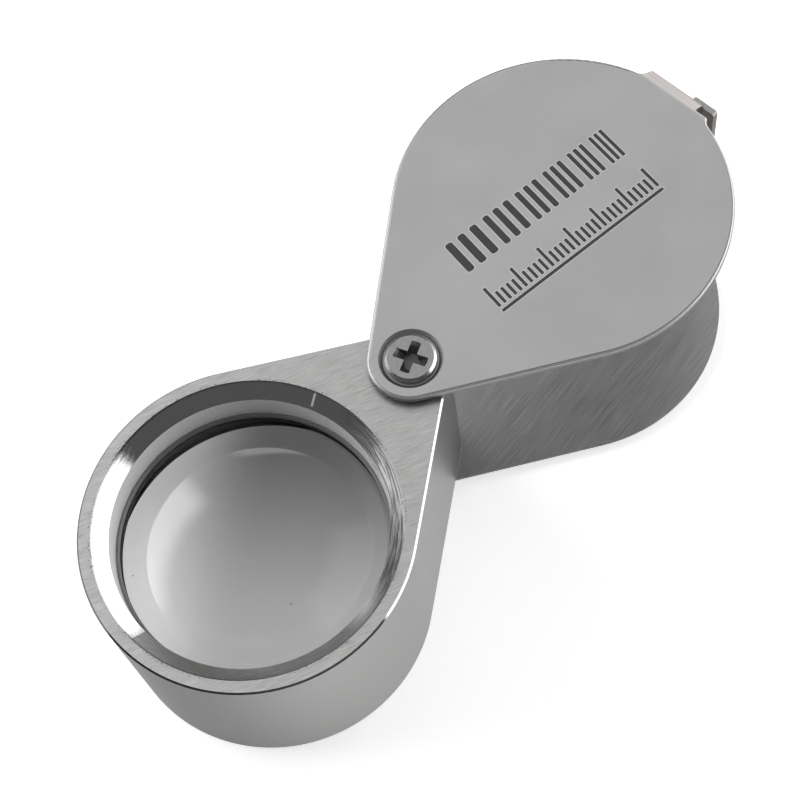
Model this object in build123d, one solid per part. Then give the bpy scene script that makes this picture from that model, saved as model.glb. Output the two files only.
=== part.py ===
from build123d import *
import math
import os

# Folding pocket loupe with a three-element lens, drawn lying open on its rear leaf.
# Millimetres.  Z is the pivot axis and points up from the face it rests on, the origin is
# where that axis meets the resting face, and X runs along the cover from the pivot to the
# bridge.  The lens block swings about Z; here it stands almost straight out of the cover.

# ---------------------------------------------------------------- driving dimensions
SHEET = 0.5  # thickness of the cover's sheet metal
BLOCK_HEIGHT = 16.4  # lens block, face to face
SIDE_GAP = 0.5  # between each leaf and the block
OPEN_ANGLE = 178.4  # the opened block's direction, counted from +X in degrees

LEAF_CENTRE = 17.3  # pivot to the centre of a leaf's round end
LEAF_RADIUS = 13.25
LEAF_TIP_RADIUS = 3.35

BLOCK_CENTRE = 17.5  # pivot to the lens axis
BLOCK_RADIUS = 12.65
BLOCK_TIP_RADIUS = 2.85

BRIDGE_REACH = 31.7  # pivot to the bridge's outer face
BRIDGE_LEFT = 2.5  # the bridge's two edges, in Y; it is not quite centred on the cover
BRIDGE_RIGHT = -3.8
BEND_INNER_RADIUS = 1.3

BORE_RADIUS = 10.5  # the 21 mm lens bore
MOUTH_RADIUS = 11.66  # the polished mouth, where it meets the block's face
MOUTH_DEPTH = 1.04

SHANK_RADIUS = 1.1  # pivot screw
POST_RADIUS = 1.6  # threaded post around the screw
BUSH_RADIUS = 2.05  # bush around the post

# ---------------------------------------------------------------- clearances
RUNNING_CLEARANCE = 0.05  # radial, between pieces that turn on each other
FIT_CLEARANCE = 0.02  # radial, between pieces that are fixed to each other
SEAT_CLEARANCE = 0.01  # between stacked faces

# ---------------------------------------------------------------- cover details
BEND_OUTER_RADIUS = BEND_INNER_RADIUS + SHEET
BRIDGE_WIDTH = BRIDGE_LEFT - BRIDGE_RIGHT
BRIDGE_MIDDLE = (BRIDGE_LEFT + BRIDGE_RIGHT) / 2
EDGE_ROUND = 0.3  # stamped edge of the leaves
TAB_FLARE = 0.8  # radius where a tab's side runs into its leaf
EAR_WIDTH = 2.3  # end of the bridge that was left upright beside the front tab
EAR_DROP = 0.8  # how far the ear stays below the front leaf's face
TAB_SETBACK = 1.15  # from the bridge's right edge to where the front tab stops

# the dimple pressed into each leaf around the pivot
DIMPLE_DEPTH = 0.28
DIMPLE_RADIUS = 2.43
DIMPLE_FLOOR_RADIUS = 2.15
BOSS_RADIUS = 2.75
BOSS_TIP_RADIUS = 2.5

# ---------------------------------------------------------------- pivot details
HEAD_RADIUS = 1.98
HEAD_PROUD = 0.24  # screw head above the front leaf
HEAD_CHAMFER = 0.2
SCREW_LENGTH = 8.0
CROSS_TURN = 21  # how the cross slot ended up, in degrees from +X
CROSS_REACH = 1.34  # half the slot's length at the head's face
CROSS_FLOOR_REACH = 0.7  # and at its floor
CROSS_ARM_WIDTH = 0.76
CROSS_HUB_RADIUS = 0.55
CROSS_DEPTH = 0.95
WASHER_RADIUS = 2.6

# ---------------------------------------------------------------- lens details
EDGE_BREAK = 0.14  # deburred edge of the block
RING_DEPTH = 3.5  # retaining ring below the block's face
RING_HEIGHT = 0.32
RING_INNER_RADIUS = 10.22
RING_CHAMFER = 0.12
SEAT_RING_HEIGHT = 0.15
LENS_RADIUS = 10.45
LENS_FACE_RADIUS = 10.2  # inside the ground rim
OUTER_RIM = 3.1  # rim thickness of the front and rear elements
DOME_RADIUS = 25.0  # curvature of the outward faces
CEMENT_RADIUS = 17.0  # curvature of the cemented faces
CEMENT_GAP = 0.02

# ---------------------------------------------------------------- heights
BLOCK_BOTTOM = SHEET + SIDE_GAP
BLOCK_TOP = BLOCK_BOTTOM + BLOCK_HEIGHT
OVERALL = BLOCK_TOP + SIDE_GAP + SHEET
MID_HEIGHT = OVERALL / 2
BOSS_FACE = OVERALL - SHEET - DIMPLE_DEPTH  # inner end of the front leaf's dimple
RING_TOP = BLOCK_TOP - RING_DEPTH
LENS_SEAT = RING_TOP - RING_HEIGHT - SEAT_RING_HEIGHT


def ring(outer_radius, inner_radius, bottom, top):
    """A plain ring about the Z axis."""
    height = top - bottom
    body = Cylinder(outer_radius, height) - Cylinder(inner_radius, height)
    return Pos(0, 0, (bottom + top) / 2) * body


def rod(radius, bottom, top):
    """A plain cylinder about the Z axis."""
    return Pos(0, 0, (bottom + top) / 2) * Cylinder(radius, top - bottom)


def cone(bottom_radius, top_radius, bottom, top):
    """A cone frustum about the Z axis."""
    return Pos(0, 0, (bottom + top) / 2) * Cone(bottom_radius, top_radius, top - bottom)


def teardrop(centre, radius, tip_radius):
    """Outline of two circles and their outer tangents, the small one on the origin."""
    angle = math.acos((tip_radius - radius) / centre)
    cos_a = math.cos(angle)
    sin_a = math.sin(angle)
    upper_tip = (tip_radius * cos_a, tip_radius * sin_a)
    lower_tip = (tip_radius * cos_a, -tip_radius * sin_a)
    upper_end = (centre + radius * cos_a, radius * sin_a)
    lower_end = (centre + radius * cos_a, -radius * sin_a)
    outline = Wire(
        [
            ThreePointArc(upper_tip, (-tip_radius, 0), lower_tip).edge(),
            Line(lower_tip, lower_end).edge(),
            ThreePointArc(lower_end, (centre + radius, 0), upper_end).edge(),
            Line(upper_end, upper_tip).edge(),
        ]
    )
    return Face(outline)


def mirrored(solid):
    """The same solid turned over about the loupe's middle plane."""
    return mirror(solid, about=Plane.XY.offset(MID_HEIGHT))


# ---------------------------------------------------------------- cover
def sheet_section():
    """The folded sheet in side view: two leaves, two bends and the bridge."""
    outer = Rectangle(2 * BRIDGE_REACH, OVERALL)
    outer = fillet(outer.vertices().group_by(Axis.X)[-1], BEND_OUTER_RADIUS)
    inner = Rectangle(2 * (BRIDGE_REACH - SHEET), OVERALL - 2 * SHEET)
    inner = fillet(inner.vertices().group_by(Axis.X)[-1], BEND_INNER_RADIUS)
    return Pos(0, MID_HEIGHT) * (outer - inner)


def leaf_plan():
    """A leaf and its tab from above; the tab's sides run into the leaf in small curves."""
    tab_length = BRIDGE_REACH - LEAF_CENTRE
    tab = Pos(BRIDGE_REACH - tab_length / 2, BRIDGE_MIDDLE) * Rectangle(tab_length, BRIDGE_WIDTH)
    plan = teardrop(LEAF_CENTRE, LEAF_RADIUS, LEAF_TIP_RADIUS) + tab
    tip_corners = 2
    roots = plan.vertices().sort_by(Axis.X)[-tip_corners - 2 : -tip_corners]
    return fillet(roots, TAB_FLARE)


def relief_cut():
    """The opening beside the front tab, between the leaf's rim and the bridge's ear."""
    tab_end = BRIDGE_RIGHT + TAB_SETBACK
    rim_reach = LEAF_CENTRE + math.sqrt(LEAF_RADIUS**2 - tab_end**2)
    length = BRIDGE_REACH - rim_reach
    width = 2 * TAB_SETBACK
    place = Pos(BRIDGE_REACH - length / 2, tab_end - width / 2, OVERALL)
    return place * Box(length, width, 2 * BEND_OUTER_RADIUS)


def bridge_ear():
    """The end of the bridge that stays upright beside the front tab."""
    height = 2 * BEND_OUTER_RADIUS
    ear = Box(SHEET, EAR_WIDTH, height)
    top_edges = ear.edges().filter_by(Axis.X).group_by(Axis.Z)[-1]
    ear = fillet(top_edges, SHEET / 2)
    place = Pos(
        BRIDGE_REACH - SHEET / 2,
        BRIDGE_RIGHT + EAR_WIDTH / 2,
        OVERALL - EAR_DROP - height / 2,
    )
    return place * ear


def leaf_prism():
    """The leaf's plan with its outer edge rounded, as deep as the bend."""
    plan = extrude(leaf_plan(), BEND_OUTER_RADIUS, dir=(0, 0, 1))
    prism = Pos(0, 0, OVERALL - BEND_OUTER_RADIUS) * plan
    return fillet(prism.edges().group_by(Axis.Z)[-1], EDGE_ROUND)


def dimple_tool():
    """What the punch takes out of the front leaf around the pivot."""
    return cone(DIMPLE_FLOOR_RADIUS, DIMPLE_RADIUS, OVERALL - DIMPLE_DEPTH, OVERALL)


def dimple_boss():
    """What the punch pushes out on the front leaf's inner face, rooted inside the sheet."""
    root = OVERALL - SHEET / 2
    return cone(BOSS_TIP_RADIUS, BOSS_RADIUS, BOSS_FACE, root)


def make_cover():
    sheet = extrude(Plane.XZ * sheet_section(), LEAF_CENTRE, both=True)
    bridge_plan = Pos(BRIDGE_REACH / 2, BRIDGE_MIDDLE, MID_HEIGHT) * Box(
        BRIDGE_REACH, BRIDGE_WIDTH, OVERALL - 2 * BEND_OUTER_RADIUS
    )
    front = leaf_prism()
    cover = sheet & (front + mirrored(front) + bridge_plan)
    cover = cover - relief_cut() + bridge_ear()
    cover = cover + dimple_boss() + mirrored(dimple_boss())
    cover = cover - dimple_tool() - mirrored(dimple_tool())
    screw_hole = rod(SHANK_RADIUS + RUNNING_CLEARANCE, MID_HEIGHT, OVERALL)
    post_hole = rod(POST_RADIUS + FIT_CLEARANCE, 0, MID_HEIGHT)
    return cover - screw_hole - post_hole


# ---------------------------------------------------------------- pivot
def cross_recess(top):
    """A tapered cross slot, cut from the top of a screw head."""
    arm = Box(2 * CROSS_REACH, CROSS_ARM_WIDTH, CROSS_DEPTH)
    hub = Cylinder(CROSS_HUB_RADIUS, CROSS_DEPTH)
    cross = arm + Rot(0, 0, 90) * arm + hub
    bottom = top - CROSS_DEPTH
    taper = cone(CROSS_FLOOR_REACH, CROSS_REACH, bottom, top)
    return Rot(0, 0, CROSS_TURN) * (Pos(0, 0, (bottom + top) / 2) * cross & taper)


def make_pivot_screw():
    seat = OVERALL - DIMPLE_DEPTH + SEAT_CLEARANCE
    head_top = OVERALL + HEAD_PROUD
    head = rod(HEAD_RADIUS, seat, head_top)
    head = chamfer(head.edges().group_by(Axis.Z)[-1], HEAD_CHAMFER)
    shank = rod(SHANK_RADIUS, seat - SCREW_LENGTH, seat)
    shank = chamfer(shank.edges().group_by(Axis.Z)[0], HEAD_CHAMFER)
    return head + shank - cross_recess(head_top)


def make_pivot_post():
    """Threaded post, fixed in the rear leaf with its head flush; the screw enters from the front."""
    top = BOSS_FACE - SEAT_CLEARANCE
    head = rod(DIMPLE_FLOOR_RADIUS - FIT_CLEARANCE, 0, DIMPLE_DEPTH - SEAT_CLEARANCE)
    barrel = rod(POST_RADIUS, 0, top)
    thread = rod(SHANK_RADIUS + FIT_CLEARANCE, top - SCREW_LENGTH, top)
    return head + barrel - thread


def make_front_washer():
    bottom = BLOCK_TOP + SEAT_CLEARANCE
    return ring(WASHER_RADIUS, POST_RADIUS + RUNNING_CLEARANCE, bottom, BOSS_FACE - SEAT_CLEARANCE)


def make_pivot_bush():
    """Plain bush pressed into the block, turning on the post."""
    return ring(BUSH_RADIUS, POST_RADIUS + RUNNING_CLEARANCE, BLOCK_BOTTOM, BLOCK_TOP)


# ---------------------------------------------------------------- lens block
def on_lens_axis(solid):
    """Carry a solid from the Z axis to the lens axis of the opened block."""
    return Rot(0, 0, OPEN_ANGLE) * Pos(BLOCK_CENTRE, 0, 0) * solid


def make_lens_block():
    plan = teardrop(BLOCK_CENTRE, BLOCK_RADIUS, BLOCK_TIP_RADIUS)
    block = Pos(0, 0, BLOCK_BOTTOM) * extrude(plan, BLOCK_HEIGHT)
    rims = block.edges().group_by(Axis.Z)
    block = chamfer(rims[0] + rims[-1], EDGE_BREAK)
    block = block - Pos(BLOCK_CENTRE, 0, 0) * rod(BORE_RADIUS, 0, OVERALL)
    mouth = cone(BORE_RADIUS, MOUTH_RADIUS, BLOCK_TOP - MOUTH_DEPTH, BLOCK_TOP)
    block = block - Pos(BLOCK_CENTRE, 0, 0) * (mouth + mirrored(mouth))
    block = block - rod(BUSH_RADIUS + FIT_CLEARANCE, 0, OVERALL)
    return Rot(0, 0, OPEN_ANGLE) * block


def make_front_retaining_ring():
    outer = BORE_RADIUS - FIT_CLEARANCE
    retainer = ring(outer, RING_INNER_RADIUS, RING_TOP - RING_HEIGHT, RING_TOP)
    inner_edge = retainer.edges().group_by(Axis.Z)[-1].sort_by(SortBy.LENGTH)[0]
    retainer = chamfer(inner_edge, RING_CHAMFER)
    return on_lens_axis(retainer)


def make_front_seat_ring():
    """Thin black ring that takes the retaining ring's pressure on the lens rim."""
    outer = BORE_RADIUS - FIT_CLEARANCE
    top = LENS_SEAT + SEAT_RING_HEIGHT - SEAT_CLEARANCE
    return on_lens_axis(ring(outer, LENS_FACE_RADIUS + RUNNING_CLEARANCE, LENS_SEAT, top))


def ball_below(apex, radius):
    """A ball whose highest point is on the axis at the given height."""
    return Pos(0, 0, apex - radius) * Sphere(radius)


def sag(radius, half_width):
    """How far a spherical face falls from its apex at a distance from the axis."""
    return radius - math.sqrt(radius**2 - half_width**2)


def make_front_lens():
    """Outer element: domed front face with a ground rim, hollow rear face."""
    rim_top = LENS_SEAT - SEAT_CLEARANCE
    rim_bottom = rim_top - OUTER_RIM
    dome = ball_below(rim_top + sag(DOME_RADIUS, LENS_FACE_RADIUS), DOME_RADIUS)
    dome = dome & rod(LENS_FACE_RADIUS, rim_bottom, OVERALL)
    blank = rod(LENS_RADIUS, rim_bottom, rim_top) + dome
    hollow = ball_below(rim_bottom + sag(CEMENT_RADIUS, LENS_RADIUS) + CEMENT_GAP, CEMENT_RADIUS)
    return on_lens_axis(blank - hollow)


def make_middle_lens():
    """Middle element: both faces bulge into the outer elements."""
    rim_top = LENS_SEAT - SEAT_CLEARANCE - OUTER_RIM
    apex = rim_top + sag(CEMENT_RADIUS, LENS_RADIUS)
    lower = mirrored(ball_below(apex, CEMENT_RADIUS))
    lens = ball_below(apex, CEMENT_RADIUS) & lower & rod(LENS_RADIUS, 0, OVERALL)
    return on_lens_axis(lens)


# ---------------------------------------------------------------- build
PARTS = {
    "cover": make_cover(),
    "pivot_screw": make_pivot_screw(),
    "pivot_post": make_pivot_post(),
    "front_washer": make_front_washer(),
    "rear_washer": mirrored(make_front_washer()),
    "pivot_bush": make_pivot_bush(),
    "lens_block": make_lens_block(),
    "front_retaining_ring": make_front_retaining_ring(),
    "rear_retaining_ring": mirrored(make_front_retaining_ring()),
    "front_seat_ring": make_front_seat_ring(),
    "rear_seat_ring": mirrored(make_front_seat_ring()),
    "front_lens": make_front_lens(),
    "middle_lens": make_middle_lens(),
    "rear_lens": mirrored(make_front_lens()),
}

os.makedirs("parts", exist_ok=True)
for name, solid in PARTS.items():
    export_step(solid, f"parts/{name}.step")
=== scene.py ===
import bmesh
import bpy
import math
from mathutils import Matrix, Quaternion, Vector


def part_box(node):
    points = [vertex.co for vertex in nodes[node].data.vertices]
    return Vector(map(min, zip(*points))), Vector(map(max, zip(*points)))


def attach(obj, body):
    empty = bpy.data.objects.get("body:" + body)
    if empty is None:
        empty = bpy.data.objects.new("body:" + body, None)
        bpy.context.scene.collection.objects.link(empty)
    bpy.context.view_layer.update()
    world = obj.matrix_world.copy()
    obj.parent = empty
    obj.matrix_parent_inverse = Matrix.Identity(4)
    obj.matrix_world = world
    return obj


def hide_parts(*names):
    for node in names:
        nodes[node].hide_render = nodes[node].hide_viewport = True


# A folding pocket loupe, opened, on a pale floor under a soft light tent.
# Metres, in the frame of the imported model: Z is the pivot axis, X runs along the cover.

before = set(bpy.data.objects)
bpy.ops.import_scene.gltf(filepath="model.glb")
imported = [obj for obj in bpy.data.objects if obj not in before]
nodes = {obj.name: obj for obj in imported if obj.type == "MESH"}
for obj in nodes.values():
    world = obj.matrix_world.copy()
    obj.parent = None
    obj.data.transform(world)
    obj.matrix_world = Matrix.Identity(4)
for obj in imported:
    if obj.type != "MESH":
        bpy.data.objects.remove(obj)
bpy.context.view_layer.update()

MM = 0.001

# Camera: which way it stands from the object, how far, and its tilt about its own axis, in degrees.
CAMERA_AZIMUTH = -36.4
CAMERA_ELEVATION = 66.0
CAMERA_ROLL = -12.1
CAMERA_DISTANCE = 150.8 * MM
CAMERA_LENS = 85.3  # focal length in millimetres
SENSOR_WIDTH = 36  # in millimetres too
CAMERA_TARGET = Vector((-0.6, 1.6, 9.2)) * MM
CAMERA_BEARING = Vector(
    (math.sin(math.radians(CAMERA_AZIMUTH)), -math.cos(math.radians(CAMERA_AZIMUTH)), 0)
)

# Light tent: how bright each part of the surrounding sky is, and where the three soft boxes stand.
TENT_TOP = 0.62
TENT_SIDE = 0.5
TENT_DOOR = 0.12  # the side the camera looks in from
KEY_DIRECTION = Vector((0.88, -0.47, 0)).normalized()
KEY_STRENGTH = 3.0
FILL_DIRECTION = Vector((-0.35, 0.94, 0)).normalized()
FILL_STRENGTH = 4.5
FILL_LOW_STRENGTH = 0.5  # its dimmer lower part
STRIP_DIRECTION = Vector((0.85, 0.52, 0)).normalized()
STRIP_STRENGTH = 2.2
FLOOR_SIZE = 4.0
FLOOR_GLOW = 0.45

# Heights and places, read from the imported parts.
COVER_LOW, COVER_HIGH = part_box("cover")
BLOCK_LOW, BLOCK_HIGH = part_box("lens_block")
RING_LOW, RING_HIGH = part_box("front_retaining_ring")
LENS_LOW, LENS_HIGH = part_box("front_lens")
LENS_AXIS = (RING_LOW + RING_HIGH) / 2
LENS_RADIUS = (LENS_HIGH.x - LENS_LOW.x) / 2
MID_HEIGHT = (BLOCK_LOW.z + BLOCK_HIGH.z) / 2
LENS_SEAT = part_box("front_seat_ring")[0].z
LENS_BEVEL = 0.25 * MM  # ground rim outside the polished face
SEAT_GAP = 0.01 * MM  # between the lens rim and the ring on it
SHARP_ANGLE = math.radians(30)  # steeper turns of the glass's profile stay sharp
SCREW_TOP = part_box("pivot_screw")[1].z
PIVOT = Vector((0, 0, 0))
DIMPLE_RADIUS = 2.43 * MM
EDGE_ROUND = 0.3 * MM  # stamped edge of the cover's leaves
BEND_DEPTH = 1.8 * MM  # how far the bends reach in from the bridge
MOUTH_RADIUS = 11.66 * MM  # polished mouth of the block, where it meets the face
PAINTED_SHADING_SIDE = Vector((0.76, -0.65, 0))  # from the lens axis toward the side where the painted shading lightens the outer sides and streaks the chamfer darker
NICK_ANGLE = math.radians(17.5)  # where one nick crosses the mouth's chamfer
GLASS_PAINTED_SHADE_SIDE = Vector((0.76, 0.65, 0))  # painted shade: the glass's colour darkens this way, over the block's middle
GLASS_PAINTED_LIGHT_SIDE = Vector((-0.55, 0.84, 0))  # painted light: and lightens this way
DUST = (Vector((-7.9, 5.1, 0)) * MM, Vector((-1.8, -5.8, 0)) * MM)  # two specks on the glass

# Where the marking lies on the front leaf.
MARK_CENTRE = Vector((15.95, 0, 0)) * MM
MARK_ANGLE = math.radians(-9)

# What it shows, in millimetres: a generic row of line groups above a row of ticks.
MARK_LENGTH = 15.8
GROUP_ROW = 1.7  # height of the row's middle above the marking's centre line
GROUP_HEIGHT = 3.0
GROUP_WIDTHS = (0.66, 0.56, 0.47, 0.40, 0.34, 0.29)  # of one line in each group
GROUP_LINES = 3
LINE_PITCH = 1.8  # in line widths
TICK_ROW = -2.7
LONG_TICK = 2.0
SHORT_TICK = 1.2
TICK_WIDTH = 0.26
TICKS = 31
LONG_TICK_STEP = 5

# The paint, and the bright lip raised around it: their tops above the leaf and their shared bottom.
PAINT_TOP = 0.012 * MM
LIP_TOP = 0.006 * MM
LIP_WIDTH = 0.07 * MM
MARK_BOTTOM = -0.02 * MM
CORNER_SHARE = 0.3  # a bar's corner radius, as a share of its narrower side


# ------------------------------------------------------------------ node helpers
class Shader:
    """A material's node tree, with short calls for the nodes that the materials share."""

    def __init__(self, name):
        self.material = bpy.data.materials.new(name)
        self.material.use_nodes = True
        self.tree = self.material.node_tree
        self.principled = self.tree.nodes["Principled BSDF"]

    def node(self, kind, **settings):
        made = self.tree.nodes.new(kind)
        for key, value in settings.items():
            setattr(made, key, value)
        return made

    def link(self, source, target):
        self.tree.links.new(source, target)

    def math(self, operation, first, second=None):
        """One arithmetic step; each operand is a number or a socket."""
        made = self.node("ShaderNodeMath", operation=operation)
        for index, value in enumerate((first, second)):
            if value is None:
                continue
            if isinstance(value, (int, float)):
                made.inputs[index].default_value = value
            else:
                self.link(value, made.inputs[index])
        return made.outputs[0]

    def ramp(self, value, low, high, at_low=0.0, at_high=1.0):
        """A value carried smoothly from at_low to at_high while the input goes from low to high."""
        made = self.node("ShaderNodeMapRange", interpolation_type="SMOOTHSTEP")
        self.link(value, made.inputs["Value"])
        made.inputs["From Min"].default_value = low
        made.inputs["From Max"].default_value = high
        made.inputs["To Min"].default_value = at_low
        made.inputs["To Max"].default_value = at_high
        return made.outputs["Result"]

    def mix(self, factor, first, second):
        """first where factor is 0, second where it is 1; each is a number or a socket."""
        made = self.node("ShaderNodeMix", data_type="FLOAT")
        factor_socket, _, first_socket, second_socket = made.inputs[:4]
        for socket, value in ((factor_socket, factor), (first_socket, first), (second_socket, second)):
            if isinstance(value, (int, float)):
                socket.default_value = value
            else:
                self.link(value, socket)
        return made.outputs[0]

    def place(self):
        """The object's own coordinates, which turn with its body."""
        return self.node("ShaderNodeTexCoord").outputs["Object"]

    def steepness(self):
        """0 on level faces, 1 on upright ones."""
        normal = self.node("ShaderNodeNewGeometry").outputs["Normal"]
        parts = self.node("ShaderNodeSeparateXYZ")
        self.link(normal, parts.inputs[0])
        return self.math("SUBTRACT", 1.0, self.math("ABSOLUTE", parts.outputs["Z"]))

    def strokes(self, length, width, angle=0.0, detail=3.0, where=(0, 0, 0)):
        """Noise drawn out along one direction in the XY plane, as brushing leaves it."""
        mapping = self.node("ShaderNodeMapping", vector_type="TEXTURE")
        mapping.inputs["Rotation"].default_value = (0, 0, math.radians(angle))
        mapping.inputs["Scale"].default_value = (length, width, width)
        mapping.inputs["Location"].default_value = where
        self.link(self.place(), mapping.inputs["Vector"])
        noise = self.node("ShaderNodeTexNoise")
        noise.inputs["Scale"].default_value = 1.0
        noise.inputs["Detail"].default_value = detail
        noise.inputs["Roughness"].default_value = 0.6
        self.link(mapping.outputs[0], noise.inputs["Vector"])
        return noise.outputs["Fac"]

    def grain(self, size, detail=3.0):
        """Noise of one size in all directions."""
        return self.strokes(size, size, detail=detail)

    def wander(self, noise, low, high):
        """A value that wanders from low to high with a noise."""
        return self.ramp(noise, 0.3, 0.7, low, high)

    def darken(self, colour, where, share):
        """A colour brought down to a share of itself where a mask is 1."""
        return self.mix(where, colour, self.math("MULTIPLY", colour, share))

    def offset_from(self, centre):
        """Position relative to an upright axis, without its height."""
        shift = self.node("ShaderNodeVectorMath", operation="SUBTRACT")
        self.link(self.place(), shift.inputs[0])
        shift.inputs[1].default_value = centre
        flat = self.node("ShaderNodeVectorMath", operation="MULTIPLY")
        self.link(shift.outputs[0], flat.inputs[0])
        flat.inputs[1].default_value = (1, 1, 0)
        return flat.outputs[0]

    def radius_from(self, centre):
        """Distance from an upright axis."""
        length = self.node("ShaderNodeVectorMath", operation="LENGTH")
        self.link(self.offset_from(centre), length.inputs[0])
        return length.outputs["Value"]

    def reach_from(self, centre, direction):
        """Distance from an upright axis, counted along one direction only."""
        dot = self.node("ShaderNodeVectorMath", operation="DOT_PRODUCT")
        self.link(self.offset_from(centre), dot.inputs[0])
        dot.inputs[1].default_value = direction
        return dot.outputs["Value"]

    def turning(self, length, width, centre):
        """Noise drawn out around an upright axis, as a lathe leaves it."""
        parts = self.node("ShaderNodeSeparateXYZ")
        self.link(self.offset_from(centre), parts.inputs[0])
        angle = self.math("ARCTAN2", parts.outputs["Y"], parts.outputs["X"])
        around = self.math("MULTIPLY", angle, self.math("DIVIDE", self.radius_from(centre), length))
        across = self.math("DIVIDE", self.radius_from(centre), width)
        upward = self.math("DIVIDE", self.height(), width)
        joined = self.node("ShaderNodeCombineXYZ")
        for index, value in enumerate((around, across, upward)):
            self.link(value, joined.inputs[index])
        noise = self.node("ShaderNodeTexNoise")
        noise.inputs["Scale"].default_value = 1.0
        noise.inputs["Detail"].default_value = 3.0
        self.link(joined.outputs[0], noise.inputs["Vector"])
        return noise.outputs["Fac"]

    def band(self, value, centre, half_width, soft):
        """1 inside a band around a value, fading to 0 over a soft border."""
        away = self.math("ABSOLUTE", self.math("SUBTRACT", value, centre))
        return self.ramp(away, half_width, half_width + soft, 1, 0)

    def height(self):
        """Height in the object's own coordinates."""
        parts = self.node("ShaderNodeSeparateXYZ")
        self.link(self.place(), parts.inputs[0])
        return parts.outputs["Z"]

    def grey(self, value, tint=(1.0, 1.0, 1.0)):
        """A grey of changing brightness, as a colour."""
        made = self.node("ShaderNodeCombineColor")
        for index, part in enumerate(tint):
            self.link(self.math("MULTIPLY", value, part), made.inputs[index])
        return made.outputs[0]

    def bump(self, value, depth, strength):
        """Fine relief from a height value."""
        made = self.node("ShaderNodeBump")
        made.inputs["Strength"].default_value = strength
        made.inputs["Distance"].default_value = depth
        self.link(value, made.inputs["Height"])
        self.link(made.outputs[0], self.principled.inputs["Normal"])

    def set(self, name, value):
        """Give one input of the surface a number, a colour or a socket."""
        socket = self.principled.inputs[name]
        if isinstance(value, bpy.types.NodeSocket):
            self.link(value, socket)
        else:
            socket.default_value = value


# ------------------------------------------------------------------ materials
def cover_steel():
    """Stainless sheet: satin outside, coarser rolling strokes and painted shade inside, bright stamped
    edges with painted shade on their upright parts.
    """
    shader = Shader("cover_steel")
    steep = shader.steepness()
    half_height = COVER_HIGH.z / 2
    from_middle = shader.math("ABSOLUTE", shader.math("SUBTRACT", shader.height(), half_height))
    outside = shader.ramp(from_middle, half_height - 1.2 * EDGE_ROUND, half_height - EDGE_ROUND)
    along = shader.reach_from(PIVOT, (1, 0, 0))
    on_bend = shader.ramp(along, COVER_HIGH.x - BEND_DEPTH, COVER_HIGH.x - 0.9 * BEND_DEPTH)
    edge = shader.ramp(steep, 0.01, 0.10)
    fine = shader.strokes(2.5 * MM, 0.04 * MM)
    coarse = shader.strokes(4 * MM, 0.07 * MM, angle=4, where=(1 * MM, 0, 0))
    cloud = shader.grain(7 * MM)

    outer_face = shader.math("ADD", shader.wander(fine, 0.53, 0.54), shader.wander(cloud, 0, 0.02))
    # Painted shade: the inner faces are darker than the outer ones, partly for their coarser finish,
    # partly painted shade where they face each other between the leaves.
    inner_face = shader.ramp(coarse, 0.35, 0.65, 0.37, 0.46)
    face = shader.mix(outside, inner_face, outer_face)
    # Painted shade: the edge colour drops from 0.46 to 0.26 on the upright parts of the edges, for the
    # dark gap under the leaves.
    colour = shader.mix(edge, face, shader.ramp(steep, 0.45, 0.75, 0.46, 0.26))

    # Painted shade: a darker line where a leaf rolls over into its stamped edge, and a darker ring in
    # the recess around the dimple.
    roll_over_shade = shader.math("MULTIPLY", shader.band(steep, 0.06, 0.02, 0.03), outside)
    colour = shader.darken(colour, shader.mix(on_bend, roll_over_shade, 0), 0.3)
    dimple_rim_shade = shader.band(shader.radius_from(PIVOT), DIMPLE_RADIUS - 0.2 * MM, 0.2 * MM, 0.06 * MM)
    colour = shader.darken(colour, shader.math("MULTIPLY", dimple_rim_shade, outside), 0.6)

    # The bends are slightly warmer than the flat sheet.
    bend = shader.math("MULTIPLY", on_bend, edge)
    tint = (1.0, shader.mix(bend, 0.997, 0.93), shader.mix(bend, 0.995, 0.90))
    shader.set("Base Color", shader.grey(colour, tint))
    face_rough = shader.mix(outside, shader.wander(coarse, 0.32, 0.42), shader.wander(cloud, 0.33, 0.37))
    shader.set("Roughness", shader.mix(edge, face_rough, 0.46))
    shader.set("Specular Tint", (0.5, 0.5, 0.5, 1))
    shader.set("Metallic", 1.0)
    relief = shader.mix(outside, coarse, shader.math("MULTIPLY", fine, 0.25))
    shader.bump(relief, 0.004 * MM, 0.3)
    return shader.material


def rim_chips(shader, from_axis):
    """Small dents in patches along the deburred rim of the block's mouth."""
    dents = shader.ramp(shader.strokes(0.20 * MM, 0.10 * MM), 0.54, 0.60)
    patches = shader.ramp(shader.grain(3 * MM, detail=1.0), 0.46, 0.56)
    rim = shader.band(from_axis, MOUTH_RADIUS, 0.08 * MM, 0.16 * MM)
    return shader.math("MULTIPLY", shader.math("MULTIPLY", dents, patches), rim)


def mouth_nick(shader, in_bore):
    """One bright nick straight across the mouth's chamfer."""
    along = (math.cos(NICK_ANGLE), math.sin(NICK_ANGLE), 0)
    across = (-math.sin(NICK_ANGLE), math.cos(NICK_ANGLE), 0)
    line = shader.band(shader.reach_from(LENS_AXIS, across), 0, 0.05 * MM, 0.1 * MM)
    chamfer = shader.ramp(shader.reach_from(LENS_AXIS, along), 10.6 * MM, 10.8 * MM)
    return shader.math("MULTIPLY", shader.math("MULTIPLY", line, chamfer), in_bore)


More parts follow.
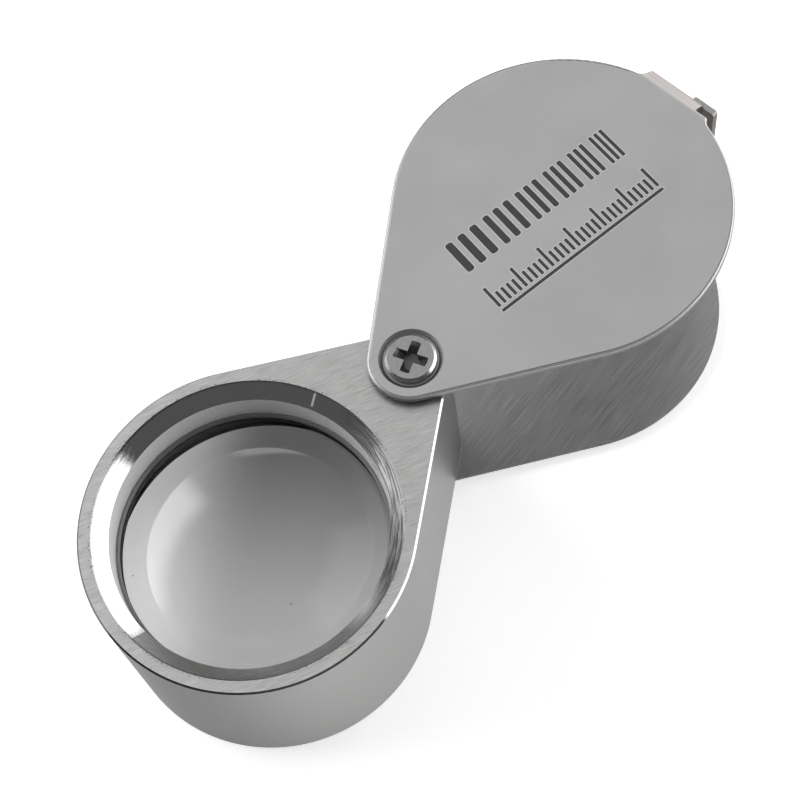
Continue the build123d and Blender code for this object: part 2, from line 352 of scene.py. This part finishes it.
def block_metal():
    """Lens block: brushed faces, satin sides painted darker to one side, polished and slightly worn
    mouths with painted shade streaks on one side.
    """
    shader = Shader("block_metal")
    steep = shader.steepness()
    level = shader.ramp(steep, 0.02, 0.1, 1, 0)
    upright = shader.ramp(steep, 0.6, 0.9)
    from_axis = shader.radius_from(LENS_AXIS)
    in_bore = shader.ramp(from_axis, MOUTH_RADIUS - 0.2 * MM, MOUTH_RADIUS, 1, 0)
    painted_shading_reach = shader.reach_from(LENS_AXIS, PAINTED_SHADING_SIDE)
    brushing = shader.strokes(1.6 * MM, 0.06 * MM, angle=-27)
    cuts = shader.strokes(2.4 * MM, 0.07 * MM, angle=-23, where=(3 * MM, 0, 0))
    scratches = shader.ramp(cuts, 0.62, 0.70)
    lathe = shader.turning(1.5 * MM, 0.05 * MM, LENS_AXIS)
    satin = shader.grain(0.12 * MM)
    chips = rim_chips(shader, from_axis)
    nick = mouth_nick(shader, in_bore)

    # Painted shade: turning-mark streaks darken the chamfer on one side, and the satin outside is
    # painted darker on the other side.
    marks = shader.ramp(shader.turning(2.2 * MM, 0.10 * MM, LENS_AXIS), 0.44, 0.56)
    painted_shade_streaks = shader.math("MULTIPLY", marks, shader.ramp(painted_shading_reach, 7.5 * MM, 10 * MM))
    bore_colour = shader.mix(upright, shader.mix(painted_shade_streaks, 0.58, 0.22), 0.86)
    # Painted shade: the outer sides darken from 0.46 to 0.15 away from that side.
    outer_colour = shader.ramp(painted_shading_reach, -9 * MM, 9 * MM, 0.15, 0.46)
    outer_colour = shader.math("ADD", outer_colour, shader.wander(satin, 0, 0.02))
    face_colour = shader.mix(scratches, shader.wander(brushing, 0.48, 0.66), 0.36)
    colour = shader.mix(level, shader.mix(in_bore, outer_colour, bore_colour), face_colour)
    colour = shader.mix(chips, colour, 0.12)
    colour = shader.mix(nick, colour, 0.7)
    shader.set("Base Color", shader.grey(colour, (1.0, 0.998, 0.99)))

    side_rough = shader.mix(in_bore, shader.wander(satin, 0.30, 0.38), shader.wander(lathe, 0.34, 0.46))
    rough = shader.mix(upright, shader.ramp(lathe, 0.4, 0.7, 0.04, 0.12), side_rough)
    rough = shader.mix(level, rough, shader.wander(brushing, 0.28, 0.40))
    shader.set("Roughness", shader.mix(nick, rough, 0.6))
    bore_wall = shader.math("MULTIPLY", in_bore, upright)
    shader.set("Metallic", shader.mix(bore_wall, 1.0, 0.15))
    shader.set("Specular Tint", (0.6, 0.6, 0.6, 1))

    face_relief = shader.math("MULTIPLY", shader.math("SUBTRACT", brushing, scratches), level)
    lathe_relief = shader.math("MULTIPLY", lathe, in_bore)
    lathe_relief = shader.math("MULTIPLY", lathe_relief, shader.mix(upright, 1.6, 0.5))
    relief = shader.math("SUBTRACT", shader.math("ADD", face_relief, lathe_relief), chips)
    shader.bump(relief, 0.006 * MM, 0.4)
    return shader.material


def bright_steel():
    """Turned screw and post; painted shade darkens the cross slot and everything under the head's edge,
    down to the rear end.
    """
    shader = Shader("screw_steel")
    turned = shader.turning(0.6 * MM, 0.04 * MM, PIVOT)
    # Painted shade: below the head's top and above the rear end the colour drops to 0.16.
    head = shader.ramp(shader.height(), SCREW_TOP - 0.42 * MM, SCREW_TOP - 0.18 * MM)
    rear_end = shader.ramp(shader.height(), 0.3 * MM, 0.5 * MM, 1, 0)
    unshaded = shader.math("MAXIMUM", head, rear_end)
    shader.set("Base Color", shader.grey(shader.mix(unshaded, 0.16, shader.wander(turned, 0.38, 0.50))))
    shader.set("Metallic", 1.0)
    shader.set("Roughness", shader.mix(unshaded, 0.5, shader.wander(turned, 0.18, 0.30)))
    shader.bump(turned, 0.003 * MM, 0.3)
    return shader.material


def black_ring():
    """Blackened rings, with fine turning marks."""
    shader = Shader("ring_black")
    turned = shader.turning(1.0 * MM, 0.04 * MM, LENS_AXIS)
    shader.set("Base Color", shader.grey(shader.wander(turned, 0.13, 0.17)))
    shader.set("Metallic", 0.0)
    shader.set("Roughness", shader.wander(turned, 0.28, 0.42))
    return shader.material


def plain(name, colour, rough, metallic=0.0):
    """One colour with a slightly uneven gloss; rough is its range."""
    shader = Shader(name)
    shader.set("Base Color", (*colour, 1))
    shader.set("Metallic", metallic)
    shader.set("Roughness", shader.wander(shader.grain(0.2 * MM), *rough))
    return shader.material


def lens_glass(name, refraction, specks=()):
    """Grey coated glass with painted shade toward one side and painted light toward another; specks of
    dust lie at places counted from its axis.
    """
    shader = Shader(name)
    # Painted shade and painted light: the colour falls from 0.62 to 0.15 along one direction and rises
    # by up to 0.42 along another.
    toward_painted_shade = shader.reach_from(LENS_AXIS, GLASS_PAINTED_SHADE_SIDE)
    toward_painted_light = shader.reach_from(LENS_AXIS, GLASS_PAINTED_LIGHT_SIDE)
    tint = shader.ramp(toward_painted_shade, -7 * MM, 9.5 * MM, 0.62, 0.15)
    tint = shader.math("ADD", tint, shader.ramp(toward_painted_light, 1 * MM, 8 * MM, 0, 0.42))
    for place in specks:
        speck = shader.ramp(shader.radius_from(LENS_AXIS + place), 0.05 * MM, 0.09 * MM, 1, 0)
        tint = shader.mix(speck, tint, 0.15)
    shader.set("Base Color", shader.grey(tint))
    shader.set("Transmission Weight", 1.0)
    shader.set("IOR", refraction)
    shader.set("Roughness", shader.ramp(shader.grain(0.8 * MM), 0.4, 0.8, 0.0, 0.01))
    return shader.material


def bright_burr():
    """The bright lip that the engraving tool raised around each bar."""
    shader = Shader("engraving_burr")
    shader.set("Base Color", shader.grey(shader.wander(shader.grain(0.1 * MM), 0.62, 0.78)))
    shader.set("Metallic", 1.0)
    shader.set("Roughness", 0.4)
    return shader.material


def engraving_paint():
    """Matt black paint in the engraving."""
    shader = Shader("engraving_paint")
    speckle = shader.grain(0.08 * MM)
    shader.set("Base Color", shader.grey(shader.wander(speckle, 0.02, 0.04)))
    shader.set("Roughness", shader.wander(speckle, 0.5, 0.65))
    shader.bump(speckle, 0.003 * MM, 0.5)
    return shader.material


def floor_paper():
    """White paper; its own faint glow keeps the shadows pale."""
    shader = Shader("floor_paper")
    shader.set("Base Color", shader.grey(shader.wander(shader.grain(2 * MM), 0.90, 0.91)))
    shader.set("Emission Color", (1, 1, 1, 1))
    shader.set("Emission Strength", FLOOR_GLOW)
    shader.set("Roughness", 0.8)
    shader.set("Specular IOR Level", 0.2)
    return shader.material


# ------------------------------------------------------------------ pieces
def mesh_object(name, mesh, *materials):
    """An object in the scene for a mesh, with its materials in order."""
    made = bpy.data.objects.new(name, mesh)
    bpy.context.scene.collection.objects.link(made)
    for material in materials:
        mesh.materials.append(material)
    return made


def revolve(name, profile, steps, centre):
    """A closed solid turned about an upright axis; the profile's ends are on the axis."""
    work = bmesh.new()
    last = len(profile) - 1
    rings = []
    for index, (radius, height) in enumerate(profile):
        ring = []
        for step in range(1 if index in (0, last) else steps):
            angle = 2 * math.pi * step / steps
            reach = (radius * math.cos(angle), radius * math.sin(angle))
            ring.append(work.verts.new((centre.x + reach[0], centre.y + reach[1], height)))
        rings.append(ring)
    for upper, lower in zip(rings, rings[1:]):
        for step in range(steps):
            following = (step + 1) % steps
            corners = [upper[step % len(upper)], lower[step % len(lower)]]
            if len(lower) > 1:
                corners.append(lower[following])
            if len(upper) > 1:
                corners.append(upper[following])
            work.faces.new(corners)
    bmesh.ops.recalc_face_normals(work, faces=work.faces)
    mesh = bpy.data.meshes.new(name)
    work.to_mesh(mesh)
    work.free()
    mesh.shade_smooth()
    mesh.set_sharp_from_angle(angle=SHARP_ANGLE)
    return mesh


def make_lens(front_glass, rear_glass, black):
    """The three cemented elements, which read as one piece of glass with a blackened edge."""
    dome_steps = 40
    turn_steps = 160
    face_radius = LENS_RADIUS - LENS_BEVEL
    dome_height = LENS_HIGH.z - (LENS_SEAT - SEAT_GAP)
    dome_radius = (face_radius**2 + dome_height**2) / (2 * dome_height)
    rim_top = LENS_HIGH.z - dome_height
    half_angle = math.asin(face_radius / dome_radius)
    upper = []
    for step in range(dome_steps + 1):
        angle = half_angle * step / dome_steps
        upper.append((dome_radius * math.sin(angle), LENS_HIGH.z - dome_radius * (1 - math.cos(angle))))
    upper.append((LENS_RADIUS, rim_top))
    lower = [(radius, 2 * MID_HEIGHT - height) for radius, height in reversed(upper)]
    mesh = revolve("lens_triplet", upper + lower, turn_steps, LENS_AXIS)
    lens = mesh_object("lens_triplet", mesh, front_glass, rear_glass, black)
    rear_index, black_index = 1, 2  # the order of the materials above
    for face in mesh.polygons:
        reach = (face.center.xy - LENS_AXIS.xy).length
        if reach > face_radius:
            face.material_index = black_index
        elif face.center.z < MID_HEIGHT:
            face.material_index = rear_index
    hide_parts("front_lens", "middle_lens", "rear_lens")
    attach(lens, "block_body")


def add_bar(work, centre, size, angle, low, high):
    """Add a flat bar with rounded corners to a mesh; size is its length and width."""
    length, width = size
    radius = CORNER_SHARE * min(length, width)
    corner_steps = 4
    turn = Quaternion((0, 0, 1), angle)
    outline = []
    for quarter, (side_x, side_y) in enumerate(((1, 1), (-1, 1), (-1, -1), (1, -1))):
        middle = Vector((side_x * (length / 2 - radius), side_y * (width / 2 - radius), 0))
        for step in range(corner_steps):
            corner = math.radians(90) * (quarter + step / (corner_steps - 1))
            outline.append(middle + radius * Vector((math.cos(corner), math.sin(corner), 0)))
    lower, upper = [
        [work.verts.new(centre + turn @ point + Vector((0, 0, level))) for point in outline]
        for level in (low, high)
    ]
    work.faces.new(list(reversed(lower)))
    work.faces.new(upper)
    count = len(outline)
    for step in range(count):
        following = (step + 1) % count
        work.faces.new((lower[step], lower[following], upper[following], upper[step]))


def marking_bars():
    """Place (along, across), length and width of every bar: line groups above a tick row."""
    bars = []
    spans = [width * (1 + LINE_PITCH * (GROUP_LINES - 1)) for width in GROUP_WIDTHS]
    gap = (MARK_LENGTH - sum(spans)) / (len(spans) - 1)
    reach = -MARK_LENGTH / 2
    for width, span in zip(GROUP_WIDTHS, spans):
        for line in range(GROUP_LINES):
            bars.append((reach + width * (0.5 + LINE_PITCH * line), GROUP_ROW, width, GROUP_HEIGHT))
        reach += span + gap
    base_line = TICK_ROW - LONG_TICK / 2 - TICK_WIDTH
    bars.append((0, base_line, MARK_LENGTH + TICK_WIDTH, TICK_WIDTH))
    for tick in range(TICKS):
        height = LONG_TICK if tick % LONG_TICK_STEP == 0 else SHORT_TICK
        along = MARK_LENGTH * (tick / (TICKS - 1) - 0.5)
        bars.append((along, base_line + 1.5 * TICK_WIDTH + height / 2, TICK_WIDTH, height))
    return bars


def make_marking(name, material, grow, low, high):
    """The marking on the front leaf as one mesh; grow widens every bar on all sides."""
    work = bmesh.new()
    turn = Quaternion((0, 0, 1), MARK_ANGLE)
    for along, across, length, width in marking_bars():
        centre = MARK_CENTRE + turn @ (Vector((along, across, 0)) * MM)
        size = (length * MM + 2 * grow, width * MM + 2 * grow)
        add_bar(work, centre, size, MARK_ANGLE, COVER_HIGH.z + low, COVER_HIGH.z + high)
    mesh = bpy.data.meshes.new(name)
    work.to_mesh(mesh)
    work.free()
    marking = mesh_object(name, mesh, material)
    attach(marking, "cover_body")


# ------------------------------------------------------------------ stage
def make_floor():
    """A wide sheet of pale paper under the object."""
    bpy.ops.mesh.primitive_plane_add(size=FLOOR_SIZE, location=(0, 0, 0))
    floor = bpy.context.object
    floor.name = "floor"
    floor.data.materials.append(floor_paper())


def make_world():
    """A light tent: an even grey roof, three soft boxes at the sides, dark where the camera stands."""
    world = bpy.data.worlds.new("light_tent")
    bpy.context.scene.world = world
    world.use_nodes = True
    tree = world.node_tree
    tree.nodes.clear()

    def add(kind, **settings):
        made = tree.nodes.new(kind)
        for key, value in settings.items():
            setattr(made, key, value)
        return made

    def span(value, low, high, at_low, at_high):
        """Carried smoothly from at_low to at_high while the value goes from low to high."""
        made = add("ShaderNodeMapRange", interpolation_type="SMOOTHSTEP")
        tree.links.new(value, made.inputs["Value"])
        made.inputs["From Min"].default_value = low
        made.inputs["From Max"].default_value = high
        made.inputs["To Min"].default_value = at_low
        made.inputs["To Max"].default_value = at_high
        return made.outputs["Result"]

    def combined(operation, first, *others):
        """One operation carried through several values; the first is a socket."""
        made = first
        for value in others:
            step = add("ShaderNodeMath", operation=operation)
            tree.links.new(made, step.inputs[0])
            if isinstance(value, float):
                step.inputs[1].default_value = value
            else:
                tree.links.new(value, step.inputs[1])
            made = step.outputs[0]
        return made

    def toward(goal):
        """How closely a direction agrees with another: 1 is the same, -1 the opposite."""
        dot = add("ShaderNodeVectorMath", operation="DOT_PRODUCT")
        tree.links.new(direction, dot.inputs[0])
        dot.inputs[1].default_value = goal
        return dot.outputs["Value"]

    def bearing(goal):
        """The same as toward, but by compass direction only."""
        level = add("ShaderNodeVectorMath", operation="MULTIPLY")
        tree.links.new(direction, level.inputs[0])
        level.inputs[1].default_value = (1, 1, 0)
        unit = add("ShaderNodeVectorMath", operation="NORMALIZE")
        tree.links.new(level.outputs[0], unit.inputs[0])
        dot = add("ShaderNodeVectorMath", operation="DOT_PRODUCT")
        tree.links.new(unit.outputs[0], dot.inputs[0])
        dot.inputs[1].default_value = goal
        return dot.outputs["Value"]

    direction = add("ShaderNodeTexCoord").outputs["Generated"]
    up = toward((0, 0, 1))
    walls = span(toward(CAMERA_BEARING), -0.2, 0.3, TENT_SIDE, TENT_DOOR)

    # Each box is the part of the sky near its middle, between two heights, with soft borders.
    key_patch = span(toward(KEY_DIRECTION), 0.68, 0.74, 0, 1)
    key = combined("MULTIPLY", key_patch, span(up, 0.42, 0.55, 1, 0), KEY_STRENGTH)
    fill_patch = span(bearing(FILL_DIRECTION), 0.82, 0.92, 0, 1)
    fill_level = span(up, 0.24, 0.42, FILL_LOW_STRENGTH, FILL_STRENGTH)
    fill = combined("MULTIPLY", fill_patch, fill_level, span(up, 0.68, 0.80, 1, 0))
    strip_patch = span(toward(STRIP_DIRECTION), 0.70, 0.76, 0, 1)
    strip_level = span(up, 0.50, 0.52, 0, STRIP_STRENGTH)
    strip = combined("MULTIPLY", strip_patch, strip_level, span(up, 0.58, 0.61, 1, 0))

    below_roof = span(up, 0.6, 0.8, 1, 0)
    sides = combined("MULTIPLY", combined("ADD", walls, key, strip), below_roof)
    roof = combined("MULTIPLY", span(up, 0.6, 0.8, 0, 1), TENT_TOP)
    sky = combined("ADD", sides, fill, roof)
    background = add("ShaderNodeBackground")
    tree.links.new(sky, background.inputs["Strength"])
    background.inputs["Color"].default_value = (1, 1, 1, 1)
    output = add("ShaderNodeOutputWorld")
    tree.links.new(background.outputs[0], output.inputs["Surface"])


def make_camera():
    """The one view: high over the loupe's near side, slightly rolled."""
    data = bpy.data.cameras.new("camera")
    data.sensor_width = SENSOR_WIDTH
    data.lens = CAMERA_LENS
    data.clip_start = 0.005
    data.clip_end = 20
    camera = bpy.data.objects.new("camera", data)
    bpy.context.scene.collection.objects.link(camera)
    elevation = math.radians(CAMERA_ELEVATION)
    back = CAMERA_BEARING * math.cos(elevation) + Vector((0, 0, math.sin(elevation)))
    camera.location = CAMERA_TARGET + back * CAMERA_DISTANCE
    camera.rotation_mode = "QUATERNION"
    roll = Quaternion((0, 0, 1), math.radians(CAMERA_ROLL))
    camera.rotation_quaternion = (-back).to_track_quat("-Z", "Y") @ roll
    bpy.context.scene.camera = camera


def dress(material, *names):
    """Put a material on CAD nodes, in place of the plain one."""
    for name in names:
        for slot in nodes[name].material_slots:
            slot.material = material


dress(cover_steel(), "cover")
dress(block_metal(), "lens_block")
dress(bright_steel(), "pivot_screw", "pivot_post")
dress(
    black_ring(),
    "front_retaining_ring",
    "rear_retaining_ring",
    "front_seat_ring",
    "rear_seat_ring",
)
dress(plain("washer_plastic", (0.03, 0.03, 0.03), (0.5, 0.65)), "front_washer", "rear_washer")
dress(plain("bush_brass", (0.72, 0.55, 0.27), (0.25, 0.4), metallic=1.0), "pivot_bush")

# The rear face carries a coating, so it mirrors the soft boxes far less than the front face.
make_lens(
    lens_glass("lens_glass", 1.55, specks=DUST),
    lens_glass("lens_glass_coated", 1.3),
    plain("lens_edge_black", (0.02, 0.02, 0.02), (0.5, 0.7)),
)
make_marking("marking_burr", bright_burr(), LIP_WIDTH, MARK_BOTTOM, LIP_TOP)
make_marking("marking_fill", engraving_paint(), 0, MARK_BOTTOM, PAINT_TOP)
make_floor()
make_world()
make_camera()

bpy.context.scene.view_settings.view_transform = "Standard"
